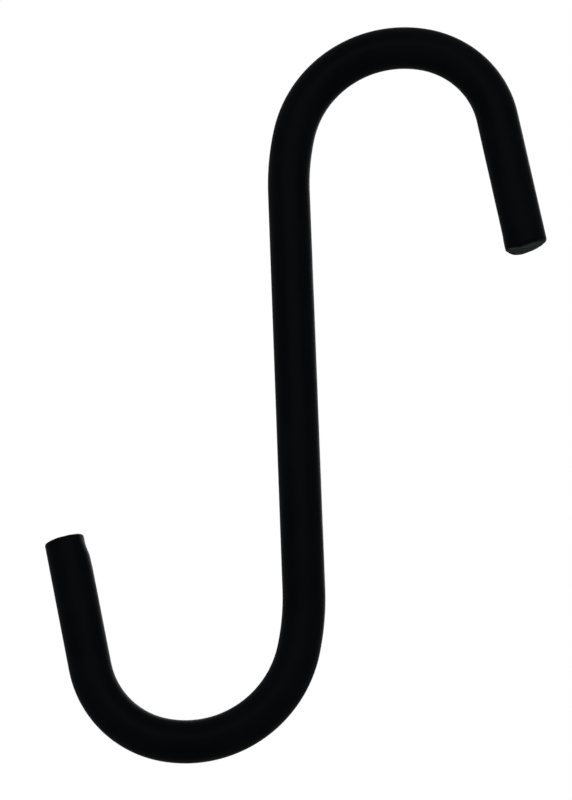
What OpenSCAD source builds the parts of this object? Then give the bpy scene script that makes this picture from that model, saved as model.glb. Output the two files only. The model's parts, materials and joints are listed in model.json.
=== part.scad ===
// S hook, bent cold from one length of round steel bar.
// The bar's middle lies in the XZ plane, with the shank upright. The upper hook opens towards +X,
// and the lower hook is the same bend turned half round, so that it opens towards -X.
// The origin is the rail seat: the point under the upper crown that bears on the rail.

/* [Bar] */
// Diameter of the round bar, with its paint
bar_d = 8; // [6:0.5:10]

/* [Shank] */
// Straight length of the shank between the two bends
shank_l = 76.5; // [50:0.5:110]

/* [Bends] */
// Radius of the easy lead-in where each bend leaves the shank, to the bar's middle
lead_r = 47; // [36:1:60]
// Angle that the lead-in turns through
lead_a = 14; // [8:1:20]
// Radius of the crown that carries the load, to the bar's middle
crown_r = 21.3; // [18:0.1:26]
// Angle that the crown turns through
crown_a = 90; // [70:1:100]
// Radius of the tighter nose between the crown and the leg, to the bar's middle
nose_r = 17.6; // [14:0.1:22]
// Angle by which each leg flares away from the line of the shank
flare_a = 9.53; // [5.1, 8.51, 9.53, 14.1]

/* [Legs] */
// Straight length of the upper leg, at the bar's middle
upper_leg_l = 26.6; // [18:0.1:40]
// Straight length of the lower leg, at the bar's middle
lower_leg_l = 24.7; // [18:0.1:40]

/* [Sheared ends] */
// Slant of the upper end face, which leaves the leg longer on its inner side
upper_slant_a = 8; // [0:1:10]
// Slant of the lower end face, which leaves the leg longer on its inner side
lower_slant_a = 2; // [0:1:10]
// Radius of the edge that the shear rolls over round each end face
edge_r = 1.5; // [0.8:0.1:2]

/* [Hidden] */
$fn = 64;

bar_r = bar_d / 2;

// The rolled edge runs out just past the bar, so it meets the side at an angle, as a sheared edge does
edge_past_bar = edge_r / 4;

// Room past an end face for the tool that shapes it
tool_clear = bar_d;

// The nose turns the bar through what the lead-in and the crown leave of the bend
nose_a = 180 - flare_a - lead_a - crown_a;

// Each bend from the shank to the leg: [radius to the bar's middle, angle turned]
bend = [[lead_r, lead_a], [crown_r, crown_a], [nose_r, nose_a]];
last_arc = len(bend) - 1;

// Heading of the bar where an arc starts, from 0 straight up through 90 along +X to 180 straight down
function heading(arc) = arc == 0 ? 0 : heading(arc - 1) + bend[arc - 1][1];

// Direction from an arc's centre out to the bar's middle, where the bar has this heading
function outward(h) = [-cos(h), 0, sin(h)];

// Centre of an arc. Neighbours share the radius line that they meet on, so the bar runs on smoothly.
function centre(arc) = arc == 0
    ? [lead_r, 0, shank_l / 2]
    : centre(arc - 1) + (bend[arc - 1][0] - bend[arc][0]) * outward(heading(arc));

leg_start = centre(last_arc) + nose_r * outward(heading(last_arc + 1));

// The bar is level at the top of the crown, and the rail bears on its underside there
rail_seat = centre(1) + (crown_r - bar_r) * outward(90);

// A whole number of hundredths of a millimetre
function coarse(p) = [for (x = p) round(x * 100) / 100];

// Moves by the coarse step and then by the small remainder, so that pieces meet without a gap
module at(p) {
    translate(coarse(p))
        translate(p - coarse(p))
            children();
}

module shank() {
    cylinder(h = shank_l, r = bar_r, center = true);
}

module bend_arc(arc) {
    radius = bend[arc][0];
    angle = bend[arc][1];
    at(centre(arc))
        rotate([90, 0, 0])
            rotate_extrude(angle = angle, start = 180 - heading(arc) - angle)
                translate([radius, 0])
                    circle(r = bar_r);
}

// What the shear takes away beyond an end face at the origin: all but a flat with a rolled edge
module shear_waste() {
    flat_r = bar_r + edge_past_bar - edge_r;
    rotate_extrude()
        difference() {
            translate([0, -edge_r])
                square([bar_d + tool_clear, edge_r + tool_clear]);
            translate([0, -edge_r])
                square([flat_r, edge_r]);
            translate([flat_r, -edge_r])
                circle(r = edge_r);
        }
}

// A leg along +Z from the origin, with its inner side towards +X
module leg(length, slant_a) {
    difference() {
        cylinder(h = length + bar_r, r = bar_r);
        translate([0, 0, length])
            rotate([0, -slant_a, 0])
                shear_waste();
    }
}

// One end of the hook, from the end of the shank to the sheared end of the leg
module hooked_end(leg_l, slant_a) {
    for (arc = [0 : last_arc])
        bend_arc(arc);
    at(leg_start)
        rotate([0, 180 - flare_a, 0])
            leg(leg_l, slant_a);
}

module hook() {
    color([0.05, 0.05, 0.055])
        translate(-rail_seat) {
            shank();
            hooked_end(upper_leg_l, upper_slant_a);
            rotate([0, 180, 0])
                hooked_end(lower_leg_l, lower_slant_a);
        }
}

hook();
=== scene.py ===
import json
import math

import bpy
from mathutils import Matrix, Vector


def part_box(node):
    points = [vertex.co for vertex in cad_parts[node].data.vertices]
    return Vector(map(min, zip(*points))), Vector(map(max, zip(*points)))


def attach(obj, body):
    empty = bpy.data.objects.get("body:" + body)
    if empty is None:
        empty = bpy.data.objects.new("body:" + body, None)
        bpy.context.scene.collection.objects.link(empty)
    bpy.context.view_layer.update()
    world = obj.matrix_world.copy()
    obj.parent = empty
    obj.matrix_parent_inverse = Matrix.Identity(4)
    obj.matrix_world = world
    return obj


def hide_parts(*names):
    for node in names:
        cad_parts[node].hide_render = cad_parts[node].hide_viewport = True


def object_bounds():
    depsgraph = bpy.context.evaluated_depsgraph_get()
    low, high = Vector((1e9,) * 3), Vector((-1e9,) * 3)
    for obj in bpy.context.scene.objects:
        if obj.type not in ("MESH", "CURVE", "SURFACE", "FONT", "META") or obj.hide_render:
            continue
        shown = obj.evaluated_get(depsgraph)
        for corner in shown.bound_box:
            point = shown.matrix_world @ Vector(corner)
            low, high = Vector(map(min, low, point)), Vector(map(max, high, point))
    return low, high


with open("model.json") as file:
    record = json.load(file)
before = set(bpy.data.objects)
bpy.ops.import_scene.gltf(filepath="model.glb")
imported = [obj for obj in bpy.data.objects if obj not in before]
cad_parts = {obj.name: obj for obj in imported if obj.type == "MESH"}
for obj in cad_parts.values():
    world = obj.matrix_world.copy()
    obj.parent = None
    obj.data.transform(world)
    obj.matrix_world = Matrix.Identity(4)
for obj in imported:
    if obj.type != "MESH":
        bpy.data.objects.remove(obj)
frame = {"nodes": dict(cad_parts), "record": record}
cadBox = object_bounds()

print("frame loaded:", ", ".join(sorted(frame["nodes"])))

# The two straight legs, as the frame's record states them.
upperLeg, lowerLeg = [mount["dims"] for mount in frame["record"]["mounts"] if mount["kind"] == "pin"]
barRadius = upperLeg["r_mm"] / 1000


def selectVertices(piece, wanted):
    bpy.ops.object.mode_set(mode="EDIT")
    bpy.ops.mesh.select_mode(type="VERT")
    bpy.ops.mesh.select_all(action="DESELECT")
    bpy.ops.object.mode_set(mode="OBJECT")
    for vertex in piece.data.vertices:
        vertex.select = wanted(vertex.co)
    bpy.ops.object.mode_set(mode="EDIT")


def extrudeBy(step):
    bpy.ops.mesh.extrude_region_move(TRANSFORM_OT_translate={"value": step})


def scaleAbout(centre, factor):
    bpy.ops.transform.resize(value=(factor, factor, factor), center_override=centre)


# The bar is swept from the middle of the shank, up for the rail hook and down for the load hook.
# Lengths are in metres and angles in degrees.
hookBar = {
    "facesAround": 96,
    "shankLength": 0.0765,
    "shankSteps": 14,  # from the middle to one end
    "bends": [  # from the shank outwards: lead-in, crown and nose
        {"radius": 0.047, "turn": 14, "steps": 10},
        {"radius": 0.0213, "turn": 90, "steps": 45},
        {"radius": 0.0176, "turn": 66.47, "steps": 34},
    ],
    "legSteps": 18,
    "plainTip": 0.0065,  # length at each tip that takes its rings from the slant of the shear
    "startReach": 1.01,  # bar radii from the shank's middle that take in the ring both halves start from
    "weldWithin": 0.0000001,
    "clearance": 0.000001,  # left between the bar and the frame's box
}


def shankMiddle():
    # The rail seat is the origin, so the shank's place follows from the bends above it.
    lead, crown = hookBar["bends"][:2]
    turned = Matrix.Rotation(math.radians(lead["turn"]), 3, "Y")
    leadCentre = Vector((lead["radius"], 0, hookBar["shankLength"] / 2))
    crownCentre = leadCentre + turned @ Vector((crown["radius"] - lead["radius"], 0, 0))
    return -(crownCentre + Vector((0, 0, crown["radius"] - barRadius)))


def sweepHalf(half, middle, legLength):
    # half is 1 for the rail hook and -1 for the load hook, which is the same bend turned half round.
    along, inward = Vector((0, 0, half)), Vector((half, 0, 0))
    for _ in range(hookBar["shankSteps"]):
        extrudeBy(along * (hookBar["shankLength"] / 2 / hookBar["shankSteps"]))
    point = middle + along * (hookBar["shankLength"] / 2)
    for bend in hookBar["bends"]:
        centre = point + inward * bend["radius"]
        angle = math.radians(bend["turn"])
        bpy.ops.mesh.spin(steps=bend["steps"], angle=-angle, center=centre, axis=(0, 1, 0))
        turned = Matrix.Rotation(angle, 3, "Y")
        point = centre + turned @ (point - centre)
        along, inward = turned @ along, turned @ inward
    for _ in range(hookBar["legSteps"]):
        extrudeBy(along * ((legLength - hookBar["plainTip"]) / hookBar["legSteps"]))
    extrudeBy(along * (hookBar["plainTip"] + barRadius))
    return point + along * legLength, along, inward


# What the shear and the coat over it left at the ends.
shearedEnd = {
    "upperSlant": 8,  # the inner side of the leg is left longer
    "lowerSlant": 2,
    "rollRadius": 0.0015,
    "rollPast": 0.000375,  # how far the roll would run past the bar's side
    "rollSteps": 10,
    "cutReach": 3,  # bar radii from the tip's middle that the cuts across the leg take in
    "tipReach": 2,  # bar radii from the tip's middle that belong to the sheared end
    "unevenDepth": 0.0005,  # how far down the roll the unevenness goes
    "tornAndPaintedLightDepth": 0.00005,  # how far down the roll the end face takes the torn coat's colour, which also holds painted light from below
    "creaseWidth": 0.0004,  # the coat fills the crease where the roll meets the side
    "creaseSteps": 3,
    "samePlane": 0.000001,  # how near the crease's plane a vertex counts as on the crease
    "faceRings": 12,
    "sideRings": 6,
    "sideRingGap": 0.0006,
    "unevenness": 0.00014,  # the deepest dents in the end faces
    "unevenSize": 0.0013,
    "unevenDetail": 2,
    "drags": [  # where the blade dragged the bar before it bit, measured from the tip's middle
        {"half": 1, "inward": 0.0034, "depth": 0.0003, "grab": 0.0012, "reach": 0.0030,
         "pushInward": 0.0, "pushDown": 0.0007},
        {"half": -1, "inward": 0.0038, "depth": 0.0009, "grab": 0.0008, "reach": 0.0034,
         "pushInward": -0.0005, "pushDown": -0.0002},
    ],
}


def shearEnd(piece, tip, along, inward, slant):
    tilt = math.radians(slant)
    outFace = along * math.cos(tilt) - inward * math.sin(tilt)
    roll = shearedEnd["rollRadius"]
    flat = barRadius + shearedEnd["rollPast"] - roll
    startAngle = math.acos((barRadius - flat) / roll)
    creaseHeight = roll * math.sin(startAngle) - roll
    for ring in range(shearedEnd["sideRings"], -1, -1):
        selectVertices(piece, lambda place: (place - tip).length < barRadius * shearedEnd["cutReach"])
        ringPlace = tip + outFace * (creaseHeight - ring * shearedEnd["sideRingGap"])
        bpy.ops.mesh.bisect(plane_co=ringPlace, plane_no=outFace, clear_outer=ring == 0)
    radius, height = barRadius, creaseHeight
    for step in range(1, shearedEnd["rollSteps"] + 1):
        angle = startAngle + (math.pi / 2 - startAngle) * step / shearedEnd["rollSteps"]
        newRadius, newHeight = flat + roll * math.cos(angle), roll * math.sin(angle) - roll
        extrudeBy(outFace * (newHeight - height))
        scaleAbout(tip + outFace * newHeight, newRadius / radius)
        radius, height = newRadius, newHeight
    for ring in range(shearedEnd["faceRings"] - 1, 0, -1):
        newRadius = flat * ring / shearedEnd["faceRings"]
        extrudeBy((0, 0, 0))
        scaleAbout(tip, newRadius / radius)
        radius = newRadius
    extrudeBy((0, 0, 0))
    bpy.ops.mesh.merge(type="CENTER")
    creasePlace = tip + outFace * creaseHeight
    selectVertices(piece, lambda place: (place - tip).length < barRadius * shearedEnd["tipReach"]
                   and abs((place - creasePlace).dot(outFace)) < shearedEnd["samePlane"])
    bpy.ops.mesh.bevel(
        offset=shearedEnd["creaseWidth"] / 2, segments=shearedEnd["creaseSteps"], affect="EDGES")
    return tip, outFace, inward


def dragEnds(piece, ends):
    for drag in shearedEnd["drags"]:
        tip, outFace, inward = ends[drag["half"]]
        grabbed = tip + inward * drag["inward"] - outFace * drag["depth"]
        selectVertices(piece, lambda place: (place - grabbed).length < drag["grab"])
        bpy.ops.transform.translate(
            value=inward * drag["pushInward"] - outFace * drag["pushDown"], use_proportional_edit=True,
            proportional_edit_falloff="SMOOTH", proportional_size=drag["reach"])
    bpy.ops.object.mode_set(mode="OBJECT")


def markSheared(piece, ends):
    # Both marks are 1 over a sheared face and fall to 0 down its roll. The second one also sets where the
    # end face's colour holds painted light from below.
    uneven, tornAndPaintedLightShare = {}, {}
    for vertex in piece.data.vertices:
        for tip, outFace, _ in ends.values():
            if (vertex.co - tip).length < barRadius * shearedEnd["tipReach"]:
                depth = (tip - vertex.co).dot(outFace)
                uneven[vertex.index] = max(0.0, min(1.0, 1 - depth / shearedEnd["unevenDepth"]))
                tornAndPaintedLightShare[vertex.index] = max(0.0, min(1.0, 1 - depth / shearedEnd["tornAndPaintedLightDepth"]))
    unevenGroup = piece.vertex_groups.new(name="uneven")
    for index, share in uneven.items():
        unevenGroup.add([index], share, "REPLACE")
    sheared = piece.data.attributes.new("sheared", "FLOAT", "POINT")
    for index, share in tornAndPaintedLightShare.items():
        sheared.data[index].value = share


def roughenEnds(piece):
    lumps = bpy.data.textures.new("shearLumps", "CLOUDS")
    lumps.noise_scale = shearedEnd["unevenSize"]
    lumps.noise_depth = shearedEnd["unevenDetail"]
    uneven = piece.modifiers.new("uneven", "DISPLACE")
    uneven.texture, uneven.texture_coords = lumps, "LOCAL"
    uneven.vertex_group = "uneven"
    uneven.strength, uneven.mid_level = shearedEnd["unevenness"], 1.0  # inwards only
    bpy.ops.object.modifier_apply(modifier=uneven.name)


def easeIntoFrame(piece):
    # The frame's bends are made of flats, so its box is a few hundredths of a millimetre smaller
    # than a round bar's.
    lowest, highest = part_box("hook")
    places = [vertex.co for vertex in piece.data.vertices]
    low = Vector([min(place[axis] for place in places) for axis in range(3)])
    high = Vector([max(place[axis] for place in places) for axis in range(3)])
    room = 2 * hookBar["clearance"]
    factors = [(highest[axis] - lowest[axis] - room) / (high[axis] - low[axis]) for axis in range(3)]
    bpy.ops.object.mode_set(mode="EDIT")
    bpy.ops.mesh.select_all(action="SELECT")
    bpy.ops.transform.resize(value=factors, center_override=(low + high) / 2)
    bpy.ops.transform.translate(value=(lowest + highest) / 2 - (low + high) / 2)
    bpy.ops.object.mode_set(mode="OBJECT")
    print("eased into the frame's box by", [round(factor, 5) for factor in factors])


def makeHookBar():
    middle = shankMiddle()
    bpy.ops.object.select_all(action="DESELECT")
    bpy.ops.mesh.primitive_circle_add(vertices=hookBar["facesAround"], radius=barRadius, location=middle)
    bar = bpy.context.object
    bar.name = bar.data.name = "hookBar"
    bpy.ops.object.transform_apply(location=True, rotation=True, scale=True)
    halves = (1, upperLeg, shearedEnd["upperSlant"]), (-1, lowerLeg, shearedEnd["lowerSlant"])
    swept = {}
    for half, leg, slant in halves:
        selectVertices(bar, lambda place: (place - middle).length < barRadius * hookBar["startReach"])
        swept[half] = (*sweepHalf(half, middle, leg["length_mm"] / 1000), slant)
    ends = {half: shearEnd(bar, *end) for half, end in swept.items()}
    bpy.ops.mesh.select_all(action="SELECT")
    bpy.ops.mesh.remove_doubles(threshold=hookBar["weldWithin"])
    bpy.ops.mesh.normals_make_consistent(inside=False)
    bpy.ops.object.mode_set(mode="OBJECT")
    markSheared(bar, ends)
    dragEnds(bar, ends)
    roughenEnds(bar)
    easeIntoFrame(bar)
    bpy.ops.object.shade_smooth()
    print("hook bar swept:", len(bar.data.polygons), "faces")
    return bar


bar = makeHookBar()
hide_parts("hook")
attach(bar, "root")


def addNode(tree, kind, **values):
    # Each value goes to the socket of its name or, where there is none, to the node's own setting.
    node = tree.nodes.new(kind)
    for name, value in values.items():
        if name in node.inputs:
            node.inputs[name].default_value = value
        else:
            setattr(node, name, value)
    return node


def feed(tree, socket, source):
    # A socket takes another node's output or a plain value.
    if isinstance(source, bpy.types.NodeSocket):
        tree.links.new(source, socket)
    else:
        socket.default_value = source


def mixColours(tree, share, first, second):
    # The node's colour sockets have the same names as its number ones, so they are taken by their order.
    mix = addNode(tree, "ShaderNodeMix", data_type="RGBA")
    feed(tree, mix.inputs["Factor"], share)
    feed(tree, mix.inputs[6], first)
    feed(tree, mix.inputs[7], second)
    return mix.outputs[2]


def mixNumbers(tree, share, first, second):
    mix = addNode(tree, "ShaderNodeMix", data_type="FLOAT")
    feed(tree, mix.inputs["Factor"], share)
    feed(tree, mix.inputs["A"], first)
    feed(tree, mix.inputs["B"], second)
    return mix.outputs["Result"]


def stretch(tree, value, low, high):
    # Noise keeps to the middle of its range, so this part is drawn out to 0 and 1.
    ramp = addNode(tree, "ShaderNodeMapRange")
    feed(tree, ramp.inputs["Value"], value)
    feed(tree, ramp.inputs["From Min"], low)
    feed(tree, ramp.inputs["From Max"], high)
    return ramp.outputs["Result"]


# The black coat. Sizes and depths are in metres.
coatLook = {
    "deepColour": (0.0010, 0.0013, 0.0016, 1),
    "thinColour": (0.0014, 0.0019, 0.0025, 1),
    "patchSize": 0.009,
    "patchDetail": 3.0,
    "patchRange": (0.35, 0.65),  # the part of the noise that is drawn out to the full range
    "smoothest": 0.44,
    "roughest": 0.54,
    "shine": 0.007,
    "peelSize": 0.0013,
    "peelDetail": 1.0,
    "peelDepth": 0.000015,
    "grainSize": 0.00045,
    "grainDetail": 1.0,
    "grainDepth": 0.0000025,
    # The end faces' colours stand partly for a torn coat and partly for painted light: they are made paler
    # to show the light the faces catch from below.
    "tornAndPaintedLightDark": (0.0068, 0.0108, 0.0087, 1),
    "tornAndPaintedLightPale": (0.0188, 0.0273, 0.0229, 1),
    "tornRoughness": 0.68,
    "tearSize": 0.0014,
    "tearDetail": 3.0,
    "tearRange": (0.35, 0.65),
    "tearDepth": 0.00004,
}


def makeCoat():
    coat = bpy.data.materials.new("blackCoat")
    coat.use_nodes = True
    tree = coat.node_tree
    shader = tree.nodes["Principled BSDF"]
    shader.inputs["Specular IOR Level"].default_value = coatLook["shine"]
    place = addNode(tree, "ShaderNodeTexCoord").outputs["Object"]
    sheared = addNode(tree, "ShaderNodeAttribute", attribute_name="sheared").outputs["Fac"]

    def noise(size, detail):
        node = addNode(tree, "ShaderNodeTexNoise", Scale=1 / size, Detail=detail)
        feed(tree, node.inputs["Vector"], place)
        return node.outputs["Fac"]

    patches = stretch(tree, noise(coatLook["patchSize"], coatLook["patchDetail"]), *coatLook["patchRange"])
    tears = stretch(tree, noise(coatLook["tearSize"], coatLook["tearDetail"]), *coatLook["tearRange"])
    coated = mixColours(tree, patches, coatLook["deepColour"], coatLook["thinColour"])
    # The end faces take the torn coat's colour, which also holds painted light from below.
    tornAndPaintedLight = mixColours(tree, tears, coatLook["tornAndPaintedLightDark"], coatLook["tornAndPaintedLightPale"])
    feed(tree, shader.inputs["Base Color"], mixColours(tree, sheared, coated, tornAndPaintedLight))
    satin = mixNumbers(tree, patches, coatLook["smoothest"], coatLook["roughest"])
    feed(tree, shader.inputs["Roughness"], mixNumbers(tree, sheared, satin, coatLook["tornRoughness"]))

    peel = addNode(tree, "ShaderNodeBump", Distance=coatLook["peelDepth"])
    feed(tree, peel.inputs["Height"], noise(coatLook["peelSize"], coatLook["peelDetail"]))
    grain = addNode(tree, "ShaderNodeBump", Distance=coatLook["grainDepth"])
    feed(tree, grain.inputs["Height"], noise(coatLook["grainSize"], coatLook["grainDetail"]))
    feed(tree, grain.inputs["Normal"], peel.outputs["Normal"])
    tornFace = addNode(tree, "ShaderNodeBump", Distance=coatLook["tearDepth"])
    feed(tree, tornFace.inputs["Strength"], sheared)
    feed(tree, tornFace.inputs["Height"], tears)
    feed(tree, tornFace.inputs["Normal"], grain.outputs["Normal"])
    feed(tree, shader.inputs["Normal"], tornFace.outputs["Normal"])
    return coat


bar.data.materials.append(makeCoat())
print("coat made")

# Lengths are in metres, angles in degrees round the hook and powers in watts.
studio = {
    "floorDrop": 0.12,  # from the hook's lowest point
    "floorSize": 40,
    "floorColour": (0.86, 0.86, 0.86, 1),
    "floorRoughness": 0.9,
    "floorNear": 0.3,  # the floor goes from pale to white between these distances from the hook
    "floorFar": 1.3,
    "floorNearShare": 0.55,
    "roomStrength": 0.35,
    "lamps": [
        {"name": "keyPanel", "azimuth": 5, "elevation": 19, "distance": 1.2,
         "width": 1.5, "height": 0.24, "power": 12},
        {"name": "backPanel", "azimuth": 168, "elevation": 22, "distance": 1.2,
         "width": 1.0, "height": 0.8, "power": 9},
    ],
}


def seenDirectly(tree):
    # 1 for rays from the camera and for what shows in a reflection or through glass, and 0 for the rest.
    rays = addNode(tree, "ShaderNodeLightPath")
    seen = rays.outputs["Is Camera Ray"]
    for kind in ("Is Glossy Ray", "Is Transmission Ray"):
        either = addNode(tree, "ShaderNodeMath", operation="MAXIMUM")
        feed(tree, either.inputs[0], seen)
        feed(tree, either.inputs[1], rays.outputs[kind])
        seen = either.outputs[0]
    return seen


def makeFloor():
    bpy.ops.object.select_all(action="DESELECT")
    height = cadBox[0].z - studio["floorDrop"]
    bpy.ops.mesh.primitive_plane_add(size=studio["floorSize"], location=(0, 0, height))
    floor = bpy.context.object
    floor.name = "floor"
    pale = bpy.data.materials.new("paleFloor")
    pale.use_nodes = True
    tree = pale.node_tree
    shader = tree.nodes["Principled BSDF"]
    shader.inputs["Base Color"].default_value = studio["floorColour"]
    shader.inputs["Roughness"].default_value = studio["floorRoughness"]
    white = addNode(tree, "ShaderNodeEmission", Color=(1, 1, 1, 1), Strength=1.0)

    distance = addNode(tree, "ShaderNodeVectorMath", operation="LENGTH")
    feed(tree, distance.inputs[0], addNode(tree, "ShaderNodeTexCoord").outputs["Object"])
    fade = addNode(tree, "ShaderNodeMapRange", interpolation_type="SMOOTHSTEP")
    feed(tree, fade.inputs["Value"], distance.outputs["Value"])
    feed(tree, fade.inputs["From Min"], studio["floorNear"])
    feed(tree, fade.inputs["From Max"], studio["floorFar"])
    feed(tree, fade.inputs["To Min"], studio["floorNearShare"])
    share = addNode(tree, "ShaderNodeMath", operation="MULTIPLY")
    feed(tree, share.inputs[0], seenDirectly(tree))
    feed(tree, share.inputs[1], fade.outputs["Result"])
    whiten = addNode(tree, "ShaderNodeMixShader")
    feed(tree, whiten.inputs[0], share.outputs[0])
    feed(tree, whiten.inputs[1], shader.outputs["BSDF"])
    feed(tree, whiten.inputs[2], white.outputs["Emission"])

    # From below, the floor isn't there.
    side = addNode(tree, "ShaderNodeNewGeometry")
    clear = addNode(tree, "ShaderNodeBsdfTransparent")
    oneSided = addNode(tree, "ShaderNodeMixShader")
    feed(tree, oneSided.inputs[0], side.outputs["Backfacing"])
    feed(tree, oneSided.inputs[1], whiten.outputs[0])
    feed(tree, oneSided.inputs[2], clear.outputs[0])
    feed(tree, tree.nodes["Material Output"].inputs["Surface"], oneSided.outputs[0])
    floor.data.materials.append(pale)


def makeRoom():
    world = bpy.data.worlds.new("paleRoom")
    bpy.context.scene.world = world
    world.use_nodes = True
    tree = world.node_tree
    background = tree.nodes["Background"]
    background.inputs["Color"].default_value = (1, 1, 1, 1)
    strength = addNode(tree, "ShaderNodeMapRange")
    feed(tree, strength.inputs["Value"], seenDirectly(tree))
    feed(tree, strength.inputs["To Min"], studio["roomStrength"])
    feed(tree, background.inputs["Strength"], strength.outputs["Result"])


def hangLamps():
    centre = (cadBox[0] + cadBox[1]) / 2
    for lamp in studio["lamps"]:
        azimuth, elevation = math.radians(lamp["azimuth"]), math.radians(lamp["elevation"])
        level = Vector((math.sin(azimuth), -math.cos(azimuth), 0))
        outward = level * math.cos(elevation) + Vector((0, 0, math.sin(elevation)))
        data = bpy.data.lights.new(lamp["name"], "AREA")
        data.shape = "RECTANGLE"
        data.size, data.size_y, data.energy = lamp["width"], lamp["height"], lamp["power"]
        panel = bpy.data.objects.new(lamp["name"], data)
        bpy.context.scene.collection.objects.link(panel)
        panel.location = centre + outward * lamp["distance"]
        panel.rotation_euler = (-outward).to_track_quat("-Z", "Y").to_euler()
        panel.visible_camera = False


makeFloor()
makeRoom()
hangLamps()
print("studio lit")

# Places and distances are in metres, turns in degrees, and the lens and sensor in millimetres.
view = {
    "place": (0.01169, -0.63274, -0.19863),
    "turn": (102.008, 2.067, 3.677),
    "lens": 154.83,
    "sensor": 36,
    "nearest": 0.01,
    "farthest": 100,
}


def makeCamera():
    data = bpy.data.cameras.new("camera")
    data.lens, data.sensor_width = view["lens"], view["sensor"]
    data.clip_start, data.clip_end = view["nearest"], view["farthest"]
    camera = bpy.data.objects.new("camera", data)
    bpy.context.scene.collection.objects.link(camera)
    camera.location = view["place"]
    camera.rotation_euler = [math.radians(angle) for angle in view["turn"]]
    bpy.context.scene.camera = camera
    bpy.context.scene.view_settings.view_transform = "Standard"
    print("camera set")


makeCamera()
